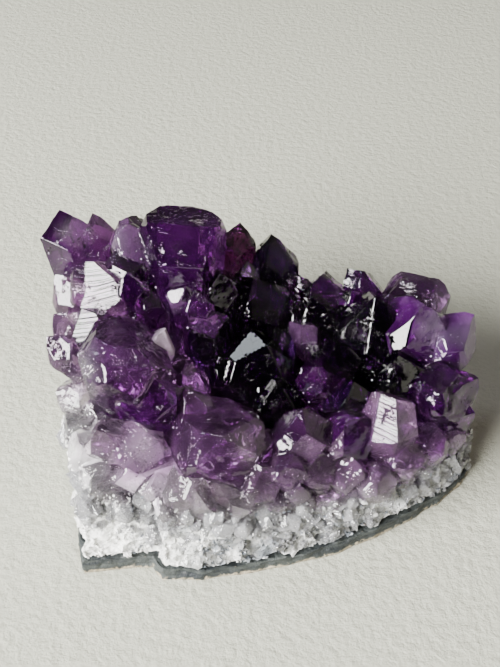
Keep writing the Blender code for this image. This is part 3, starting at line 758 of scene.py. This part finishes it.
@dataclass(frozen=True)
class Scatter:
    """Places to set small bodies on a surface: where, which way is out, and how closed in it is."""

    places: np.ndarray
    normals: np.ndarray
    closed: np.ndarray

    @classmethod
    def over(
        cls,
        mesh: bpy.types.Mesh,
        count: int,
        seed: int,
        weigh: Callable[[np.ndarray, np.ndarray, np.ndarray], np.ndarray],
        closed: np.ndarray | None = None,
    ) -> Scatter:
        """Picks places at random over a mesh.

        Args:
            mesh: the mesh, in metres.
            count: how many places.
            seed: of the random draws.
            weigh: gives each triangle's weight from its places, normals and closed-in values.
            closed: how closed in each vertex is.

        Returns:
            The places, in the crystals' own millimetres.
        """
        rng = np.random.default_rng(seed)
        mesh.calc_loop_triangles()
        corners = np.empty(len(mesh.loop_triangles) * 3, np.int32)
        mesh.loop_triangles.foreach_get("vertices", corners)
        corners = corners.reshape(-1, 3)
        spots = vertex_places(mesh)[corners]
        across = np.cross(spots[:, 1] - spots[:, 0], spots[:, 2] - spots[:, 0])
        area = np.linalg.norm(across, axis=1)
        normals = across / np.maximum(area, 1e-12)[:, None]
        shut = closed[corners].mean(axis=1) if closed is not None else np.zeros(len(corners))
        weights = area * np.maximum(weigh(spots.mean(axis=1), normals, shut), 0)
        picked = rng.choice(len(corners), size=count, p=weights / weights.sum())
        first, second = rng.random(count), rng.random(count)
        flip = first + second > 1
        first[flip], second[flip] = 1 - first[flip], 1 - second[flip]
        base = spots[picked]
        places = base[:, 0] + first[:, None] * (base[:, 1] - base[:, 0]) + second[:, None] * (base[:, 2] - base[:, 0])
        return cls(places, normals[picked], shut[picked])


def hull_template(corners: int, stretch: tuple[float, float, float], seed: int) -> tuple[np.ndarray, np.ndarray]:
    """A small broken body: the hull of corners scattered over an ellipsoid, as vertices and triangles."""
    rng = random.Random(seed)
    shape = bmesh.new()
    for _ in range(corners):
        way = Vector((rng.gauss(0, 1), rng.gauss(0, 1), rng.gauss(0, 1))).normalized() * rng.uniform(0.8, 1.1)
        shape.verts.new((way.x * stretch[0], way.y * stretch[1], way.z * stretch[2]))
    hull = bmesh.ops.convex_hull(shape, input=shape.verts[:])
    spare = dict.fromkeys(hull["geom_interior"] + hull["geom_unused"])
    bmesh.ops.delete(shape, geom=[item for item in spare if isinstance(item, bmesh.types.BMVert)], context="VERTS")
    return as_arrays(shape)


def point_template(seed: int) -> tuple[np.ndarray, np.ndarray]:
    """A tiny quartz point: a six-sided prism and a pyramid with uneven faces."""
    rng = random.Random(seed)
    shape = bmesh.new()
    for level, share in ((-0.8, 0.9), (rng.uniform(0.2, 0.6), 1.0)):
        for side in range(6):
            turn = math.radians(60 * side + rng.uniform(-9, 9))
            shape.verts.new((math.cos(turn) * share, math.sin(turn) * share, level + rng.uniform(-0.12, 0.12)))
    shape.verts.new((rng.uniform(-0.25, 0.25), rng.uniform(-0.25, 0.25), rng.uniform(1.0, 1.5)))
    bmesh.ops.convex_hull(shape, input=shape.verts[:])
    return as_arrays(shape)


def as_arrays(shape: bmesh.types.BMesh) -> tuple[np.ndarray, np.ndarray]:
    """Turns a closed body into vertices and outward triangles, and frees it."""
    bmesh.ops.triangulate(shape, faces=shape.faces[:])
    bmesh.ops.recalc_face_normals(shape, faces=shape.faces[:])
    shape.verts.index_update()
    verts = np.array([vert.co[:] for vert in shape.verts])
    faces = np.array([[vert.index for vert in face.verts] for face in shape.faces])
    shape.free()
    return verts, faces


def set_copies(
    name: str,
    scatter: Scatter,
    templates: list[tuple[np.ndarray, np.ndarray]],
    sizes: np.ndarray,
    sink: float,
    stray: float,
    colours: np.ndarray,
    seed: int,
) -> bpy.types.Mesh:
    """Sets a turned and scaled copy of a template at each place.

    Args:
        name: the mesh's name.
        scatter: the places.
        templates: the bodies to choose from.
        sizes: each copy's half width in millimetres.
        sink: how far its centre sits below the surface, as a share of its size.
        stray: how far it may lean from the surface's normal, in radians.
        colours: each copy's tint and the strength of its clouding.
        seed: of the random draws.

    Returns:
        The mesh, in metres.
    """
    rng = random.Random(seed)
    verts, faces, tints, total = [], [], [], 0
    low, high = (np.array(corner) / MM - np.array(PLACE_SHIFT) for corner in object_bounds())
    for place, normal, size, colour in zip(scatter.places, scatter.normals, sizes, colours):
        body, triangles = templates[rng.randrange(len(templates))]
        lean = Vector(normal) + Vector((rng.gauss(0, stray), rng.gauss(0, stray), rng.gauss(0, stray)))
        turn = lean.to_track_quat("Z", "Y").to_matrix() @ Matrix.Rotation(rng.uniform(0, math.tau), 3, "Z")
        centre = place - normal * size * sink
        verts.append(body * size @ np.array(turn).T + centre)
        faces.append(triangles + total)
        tints.append(np.tile(colour, (len(body), 1)))
        total += len(body)
        verts[-1] -= np.maximum(verts[-1].max(axis=0) - high, 0) + np.minimum(verts[-1].min(axis=0) - low, 0)
    points = (np.concatenate(verts) + np.array(PLACE_SHIFT)) * MM
    mesh = bpy.data.meshes.new(name)
    mesh.from_pydata(points, [], np.concatenate(faces))
    write_colours(mesh, "tint", np.concatenate(tints), "POINT")
    return mesh


@dataclass
class AmethystPoints:
    """The grown-together crystals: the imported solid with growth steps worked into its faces."""

    node: str = "amethyst_crystals"
    longest_edge: float = 0.86
    step_height: float = 0.01
    step_size: float = 3.0
    ripple: float = 0.025
    break_size: float = 2.6
    break_depth: float = 0.9
    chip_depth: float = 0.5
    sharp_angle: float = 18.0
    tint_spread: float = 0.30
    zone_size: float = 3.6
    zone_strength: float = 0.9
    # painted shade: how far the tint is darkened deep in crevices
    painted_crevice_shade: float = 0.55
    seed: int = 5

    def build(self, frame: dict, table: CrystalTable, finishes: list[bpy.types.Material]) -> bpy.types.Object:
        """Builds the crystals.

        Args:
            frame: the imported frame.
            table: the crystals.
            finishes: the materials, in the order of Clarity.

        Returns:
            The piece.
        """
        shape = bmesh.new()
        shape.from_mesh(frame["nodes"][self.node].data)
        bmesh.ops.remove_doubles(shape, verts=shape.verts[:], dist=1e-6)
        bmesh.ops.dissolve_limit(shape, angle_limit=math.radians(0.5), verts=shape.verts[:], edges=shape.edges[:])
        shape.normal_update()
        middles = np.array([face.calc_center_median() / MM - PLACE_SHIFT for face in shape.faces])
        facet_owner = table.owners(middles, np.array([face.normal for face in shape.faces]))
        shades = 1 + np.random.default_rng(self.seed).uniform(-1, 1, len(middles)) * self.tint_spread
        facet_layer = shape.faces.layers.int.new("facet")
        for number, face in enumerate(shape.faces):
            face[facet_layer] = number
        bmesh.ops.triangulate(shape, faces=shape.faces[:])
        refine(shape, self.longest_edge * MM)
        self.work_faces(shape, table.wear[facet_owner])
        facets = np.array([face[facet_layer] for face in shape.faces])
        mesh = to_mesh(shape, "amethyst_points")
        piece = link_object(mesh, "amethyst_points", *finishes)
        mesh.shade_smooth()
        mesh.set_sharp_from_angle(angle=math.radians(self.sharp_angle))
        mesh.polygons.foreach_set("material_index", table.clarity[facet_owner[facets]])
        self.paint(mesh, table, facet_owner[facets], shades[facets])
        return finish_piece(piece, (self.node,))

    def paint(self, mesh: bpy.types.Mesh, table: CrystalTable, owners: np.ndarray, shades: np.ndarray) -> None:
        """Writes the tint, darkened by painted shade in the crevices, and the growth of each corner.

        Args:
            mesh: the crystals' mesh.
            table: the crystals.
            owners: each face's crystal.
            shades: each face's own lightening or darkening.
        """
        corners = corner_vertices(mesh)
        places = vertex_places(mesh)[corners]
        owners = np.repeat(owners, 3)
        tints = table.colours(places, owners)
        # painted shade: the tint darkens where a corner lies closed in, deep in a crevice
        closed = crevice(mesh)[corners]
        zones = np.array([noise.noise(Vector(place) / self.zone_size) for place in vertex_places(mesh)])[corners]
        shade = np.repeat(shades, 3) * np.exp(zones * self.zone_strength) * (1 - self.painted_crevice_shade * closed)
        tints[:, :3] *= shade[:, None]
        write_colours(mesh, "tint", np.clip(tints, 0, 1))
        growth = np.zeros((len(corners), 4))
        growth[:, 0] = table.below_tip(places, owners) / 100
        growth[:, 1] = table.stripes[owners]
        growth[:, 3] = 1
        write_colours(mesh, "growth", growth)

    def work_faces(self, shape: bmesh.types.BMesh, facet_wear: np.ndarray) -> None:
        """Sinks growth steps, broken faces and chipped edges into the crystals.

        Args:
            shape: the mesh under work.
            facet_wear: how worn each flat face is, from 0 to 1.
        """
        layer = shape.faces.layers.int["facet"]
        shape.normal_update()
        moves = []
        for vert in shape.verts:
            spot = vert.co / MM
            facets = {face[layer] for face in vert.link_faces}
            wear = sum(facet_wear[facet] for facet in facets) / len(facets)
            level = noise.noise(spot / self.step_size) * 0.5 + 0.5
            sunk = math.floor(level * 5) / 5 * self.step_height + self.ripple
            sunk -= noise.noise(spot / 1.2 + Vector((7, 3, 1))) * self.ripple * (0.4 + wear)
            sunk += (0.5 + hackle(spot, self.break_size)) * self.break_depth * wear
            if len(facets) > 1:
                sunk += max(0.0, noise.noise(spot / 1.3)) * self.chip_depth * (0.15 + 1.2 * wear)
            moves.append(vert.normal * -sunk * MM)
        for vert, move in zip(shape.verts, moves):
            vert.co += move


def hackle(spot: Vector, size: float) -> float:
    """Height of a broken surface of small tilted faces, roughly from -0.5 to 0.5.

    Args:
        spot: a place in millimetres.
        size: how wide the small faces are, in millimetres.

    Returns:
        The height.
    """
    centre = noise.voronoi(spot / size)[1][0]
    turn = noise.cell_vector(centre * 9.7) - Vector((0.5, 0.5, 0.5))
    return max(-0.5, min(0.5, (spot / size - centre).dot(turn) * 1.6))


@dataclass
class Druse:
    """Tiny points and chips that glitter in the valleys and on the broken faces."""

    count: int = 5200
    sizes: tuple[float, float] = (0.09, 0.36)
    seed: int = 21

    def build(self, crystals: bpy.types.Object, table: CrystalTable, finish: bpy.types.Material) -> bpy.types.Object:
        """Builds the druse on the crystals.

        Args:
            crystals: the piece that it grows on.
            table: the crystals, for their colours.
            finish: its material.

        Returns:
            The piece.
        """
        scatter = Scatter.over(crystals.data, self.count, self.seed, self.weigh, crevice(crystals.data, 5.0, 8))
        rng = np.random.default_rng(self.seed)
        low, high = self.sizes
        sizes = low + (high - low) * rng.random(self.count) ** 2.6 * (0.4 + 0.6 * scatter.closed)
        colours = table.colours(scatter.places, table.owners(scatter.places, scatter.normals))
        colours[:, :3] = colours[:, :3] * 1.1 + 0.01
        colours[:, 3] = 0.0
        templates = [point_template(seed) for seed in range(8)] + [hull_template(7, (1, 1, 0.8), seed) for seed in range(6)]
        mesh = set_copies("druse_points", scatter, templates, sizes, 0.15, 0.6, colours, self.seed)
        growth = np.zeros((len(mesh.vertices), 4))
        write_colours(mesh, "growth", growth, "POINT")
        return finish_piece(link_object(mesh, "druse_points", finish))

    @staticmethod
    def weigh(places: np.ndarray, normals: np.ndarray, closed: np.ndarray) -> np.ndarray:
        """More in crevices, none on the underside or near the outermost faces."""
        patchy = np.array([noise.noise(Vector(place) / 5.0) for place in places])
        inner = (places[:, 2] < 48) & (np.abs(places[:, 0]) < 43) & (np.abs(places[:, 1]) < 29.5)
        return inner * (normals[:, 2] > -0.3) * (0.015 + ease(closed, 0.3, 0.75)) * (0.15 + ease(patchy, -0.1, 0.4))


@dataclass
class QuartzBand:
    """The white quartz under the crystals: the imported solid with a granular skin."""

    node: str = "milky_quartz"
    longest_edge: float = 0.72
    break_size: float = 1.9
    break_depth: float = 1.0
    clump: float = 0.6

    def build(self, frame: dict, finish: bpy.types.Material) -> bpy.types.Object:
        """Builds the band.

        Args:
            frame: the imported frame.
            finish: the band's material.

        Returns:
            The piece.
        """
        shape = bmesh.new()
        shape.from_mesh(frame["nodes"][self.node].data)
        bmesh.ops.remove_doubles(shape, verts=shape.verts[:], dist=1e-6)
        refine(shape, self.longest_edge * MM)
        shape.normal_update()
        for vert in shape.verts:
            spot = vert.co / MM
            clump = noise.fractal(spot / 4.0, 0.8, 2.0, 3) * 0.5 - 0.4
            broken = (hackle(spot, self.break_size) - 0.3) * self.break_depth
            vert.co += vert.normal * (broken + clump * self.clump) * MM
        mesh = to_mesh(shape, "quartz_band")
        write_colours(mesh, "tint", quartz_tints(vertex_places(mesh)), "POINT")
        return finish_piece(link_object(mesh, "quartz_band", finish), (self.node,))


def quartz_tints(places: np.ndarray) -> np.ndarray:
    """White quartz: whitest at the left corner, greyer to the right, partly as clearer quartz and partly as painted
    shade on the side away from the light; alpha is the greyness.
    """
    # painted shade in part: the tint darkens towards the right, away from the light
    grey = ease(places[:, 0], -30, -4)
    patch = np.array([noise.noise(Vector(place) / 6.5) for place in places])
    grey = np.clip(grey * (0.45 + 0.9 * ease(patch, -0.25, 0.3)), 0, 1)
    tints = np.ones((len(places), 4))
    tints[:, :3] = np.array((0.97, 0.965, 0.95)) * (1 - 0.72 * grey)[:, None]
    tints[:, 3] = grey
    return tints


@dataclass
class QuartzGrains:
    """Loose-looking sugar grains, some of them dark, over the white quartz and the crystals' feet."""

    count: int = 8500
    sizes: tuple[float, float] = (0.16, 0.85)
    seed: int = 31

    def build(self, band: bpy.types.Object, crystals: bpy.types.Object, finish: bpy.types.Material) -> bpy.types.Object:
        """Builds the grains.

        Args:
            band: the white quartz.
            crystals: the crystals, whose feet carry grains too.
            finish: their material.

        Returns:
            The piece.
        """
        on_band = Scatter.over(band.data, self.count, self.seed, self.weigh_band)
        on_feet = Scatter.over(crystals.data, self.count // 3, self.seed + 1, self.weigh_feet)
        places = np.concatenate((on_band.places, on_feet.places))
        scatter = Scatter(places, np.concatenate((on_band.normals, on_feet.normals)), np.zeros(len(places)))
        rng = np.random.default_rng(self.seed)
        low, high = self.sizes
        sizes = low + (high - low) * rng.random(len(places)) ** 2.4
        # the grains take the band's tints, the painted shade to the right included
        colours = quartz_tints(places)
        colours[:, :3] *= (0.86 + 0.14 * rng.random(len(places)))[:, None]
        dark = (rng.random(len(places)) < 0.48 * colours[:, 3])[:, None]
        colours[:, :3] = np.where(dark, np.array((0.17, 0.19, 0.22)), colours[:, :3])
        templates = [hull_template(8, (1, 1, 0.8), seed) for seed in range(9)]
        mesh = set_copies("quartz_grains", scatter, templates, sizes, 0.3, 0.8, colours, self.seed)
        return finish_piece(link_object(mesh, "quartz_grains", finish))

    @staticmethod
    def weigh_band(places: np.ndarray, normals: np.ndarray, closed: np.ndarray) -> np.ndarray:
        """On the sides of the band only."""
        side = np.hypot(places[:, 0] / 40, places[:, 1] / 27) > 0.86
        return side * (normals[:, 2] > -0.5) * (normals[:, 2] < 0.9) * (places[:, 2] > 3.6)

    @staticmethod
    def weigh_feet(places: np.ndarray, normals: np.ndarray, closed: np.ndarray) -> np.ndarray:
        """On the crystals' feet along the rim, thinning out upwards and to the right."""
        left = 0.3 + 0.7 * ease(-places[:, 0], 16, 28)
        return left * (1 - ease(milky_height(places), -1, 5)) * rim_share(places) * (normals[:, 2] > -0.5)


@dataclass
class ClearPoints:
    """Clear quartz points and broken lumps where the white quartz meets the crystals."""

    count: int = 1000
    sizes: tuple[float, float] = (0.5, 2.4)
    seed: int = 41

    def build(self, band: bpy.types.Object, crystals: bpy.types.Object, finish: bpy.types.Material) -> bpy.types.Object:
        """Builds the points.

        Args:
            band: the white quartz.
            crystals: the crystals.
            finish: their material.

        Returns:
            The piece.
        """
        on_band = Scatter.over(band.data, self.count, self.seed, self.weigh_band)
        on_feet = Scatter.over(crystals.data, self.count // 2, self.seed + 1, self.weigh_feet)
        places = np.concatenate((on_band.places, on_feet.places))
        scatter = Scatter(places, np.concatenate((on_band.normals, on_feet.normals)), np.zeros(len(places)))
        rng = np.random.default_rng(self.seed)
        low, high = self.sizes
        sizes = low + (high - low) * rng.random(len(places)) ** 2.0
        colours = np.ones((len(places), 4))
        colours[:, :3] = np.array((0.90, 0.90, 0.94)) * (0.75 + 0.25 * rng.random(len(places)))[:, None]
        colours[:, 3] = 0.4 * rng.random(len(places))
        templates = [point_template(seed + 40) for seed in range(6)] + [hull_template(9, (1, 1, 0.9), seed) for seed in range(6)]
        mesh = set_copies("clear_points", scatter, templates, sizes, 0.35, 0.5, colours, self.seed)
        write_colours(mesh, "growth", np.zeros((len(mesh.vertices), 4)), "POINT")
        return finish_piece(link_object(mesh, "clear_points", finish))

    @staticmethod
    def weigh_band(places: np.ndarray, normals: np.ndarray, closed: np.ndarray) -> np.ndarray:
        """On the upper part of the band's sides, a little less at the white corner."""
        side = np.hypot(places[:, 0] / 40, places[:, 1] / 27) > 0.86
        left = ease(-places[:, 0], 22, 34)
        return side * (normals[:, 2] > -0.2) * ease(milky_height(places), -8, -2) * (1 - 0.7 * left)

    @staticmethod
    def weigh_feet(places: np.ndarray, normals: np.ndarray, closed: np.ndarray) -> np.ndarray:
        """On the crystals' feet along the rim."""
        return (1 - ease(milky_height(places), -1, 4)) * rim_share(places) * (normals[:, 2] > -0.3)


@dataclass
class RockRind:
    """The thin rock skin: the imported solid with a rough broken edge."""

    node: str = "rock_rind"
    longest_edge: float = 0.8
    rough: float = 0.35

    def build(self, frame: dict, finish: bpy.types.Material) -> bpy.types.Object:
        """Builds the rind.

        Args:
            frame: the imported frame.
            finish: the rind's material.

        Returns:
            The piece.
        """
        shape = bmesh.new()
        shape.from_mesh(frame["nodes"][self.node].data)
        bmesh.ops.remove_doubles(shape, verts=shape.verts[:], dist=1e-6)
        refine(shape, self.longest_edge * MM)
        shape.normal_update()
        for vert in shape.verts:
            if vert.co.z < 0.05 * MM:
                continue
            spot = vert.co / MM
            wave = noise.fractal(Vector((spot.x / 2.0, spot.y / 2.0, spot.z / 0.8)), 1.0, 2.0, 4)
            vert.co += vert.normal * (wave * self.rough - 0.18) * MM
        mesh = to_mesh(shape, "rind")
        mesh.shade_smooth()
        mesh.set_sharp_from_angle(angle=math.radians(40))
        return finish_piece(link_object(mesh, "rind", finish), (self.node,))


@dataclass
class Studio:
    """Pale floor, soft light from the left and behind, and the camera."""

    target: Vector = field(default_factory=lambda: Vector((-2.1, 2.7, 33.0)))
    elevation: float = 42.0
    distance: float = 196.0
    focal_length: float = 55.0
    floor_colour: Colour = (0.425, 0.43, 0.355)
    floor_size: float = 4.0

    def build(self) -> None:
        """Builds the floor, the lights, the world and the camera."""
        self.build_floor()
        self.build_world()
        self.add_softbox("window", (219, 61), 1.0, (0.72, 0.56), 70.0, (1.0, 0.99, 0.96))
        self.add_softbox("sky_pane", (152, 34), 0.60, (0.15, 0.15), 0.6, (0.85, 0.93, 1.0))
        self.add_camera()

    def build_floor(self) -> None:
        """A plain pale floor with a faint plaster tooth."""
        shape = bmesh.new()
        bmesh.ops.create_grid(shape, x_segments=1, y_segments=1, size=self.floor_size / 2)
        material, graph, shader = new_material("plaster")
        tooth = graph.noise(520.0, 6.0, 0.3, 0.7)
        bump = graph.add("Bump", {"Height": tooth, "Strength": 0.5, "Distance": 0.0005})
        graph.feed(shader.inputs["Normal"], bump.outputs[0])
        shader.inputs["Base Color"].default_value = (*self.floor_colour, 1)
        shader.inputs["Roughness"].default_value = 0.8
        link_object(to_mesh(shape, "floor"), "floor", material)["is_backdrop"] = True

    def build_world(self) -> None:
        """A dim room with a warm wall across from the window."""
        world = bpy.data.worlds.new("room")
        world.use_nodes = True
        bpy.context.scene.world = world
        graph = Graph(world.node_tree)
        back = world.node_tree.nodes["Background"]
        way = graph.add("TexCoord").outputs["Generated"]
        wall = graph.vector("DOT_PRODUCT", way, heading(25, 62))
        share = graph.maths("POWER", graph.ramp(wall, [(0.0, 0.0), (1.0, 1.0)]), 3.0)
        colour = graph.blend(share, (0.022, 0.020, 0.019), (0.80, 0.71, 0.64))
        side = graph.vector("DOT_PRODUCT", way, heading(175, 60))
        share = graph.maths("POWER", graph.ramp(side, [(0.0, 0.0), (1.0, 1.0)]), 4.0)
        graph.feed(back.inputs["Color"], graph.blend(share, colour, (0.16, 0.16, 0.17)))
        back.inputs["Strength"].default_value = 1.0

    def add_softbox(
        self, name: str, place: tuple[float, float], away: float, size: tuple[float, float], power: float, colour: Colour
    ) -> None:
        """A rectangular light that faces the cluster.

        Args:
            name: the light's name.
            place: compass angle and tilt from upright, in degrees.
            away: its distance in metres.
            size: width and height in metres.
            power: in watts.
            colour: the light's colour.
        """
        light = bpy.data.lights.new(name, "AREA")
        light.shape, light.energy, light.color = "RECTANGLE", power, colour
        light.size, light.size_y = size
        lamp = bpy.data.objects.new(name, light)
        bpy.context.scene.collection.objects.link(lamp)
        way = heading(*place)
        lamp.location = way * away
        lamp.rotation_euler = way.to_track_quat("Z", "Y").to_euler()

    def add_camera(self) -> None:
        """The camera, aimed at the middle of the cluster."""
        camera = bpy.data.cameras.new("camera")
        camera.lens, camera.sensor_width, camera.clip_start = self.focal_length, 36.0, 0.01
        made = bpy.data.objects.new("camera", camera)
        bpy.context.scene.collection.objects.link(made)
        back = heading(270, 90 - self.elevation)
        made.location = (self.target + back * self.distance) * MM
        made.rotation_euler = (-back).to_track_quat("-Z", "Y").to_euler()
        bpy.context.scene.camera = made


def main() -> None:
    """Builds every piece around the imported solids."""
    logging.basicConfig(level=logging.INFO, format="%(message)s")
    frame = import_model()
    kit = GroupKit.build()
    table = CrystalTable(CRYSTALS, PATCHES)
    Studio().build()
    finishes = [finish.build(kit) for finish in (AMETHYST, CLOUDY_AMETHYST, MILKY_AMETHYST)]
    crystals = AmethystPoints().build(frame, table, finishes)
    band = QuartzBand().build(frame, WHITE_QUARTZ.build(kit))
    Druse().build(crystals, table, DRUSE.build(kit))
    QuartzGrains().build(band, crystals, SUGAR_QUARTZ.build(kit))
    ClearPoints().build(band, crystals, CLEAR_QUARTZ.build(kit))
    RockRind().build(frame, ROCK.build())


if __name__ == "__main__":
    main()
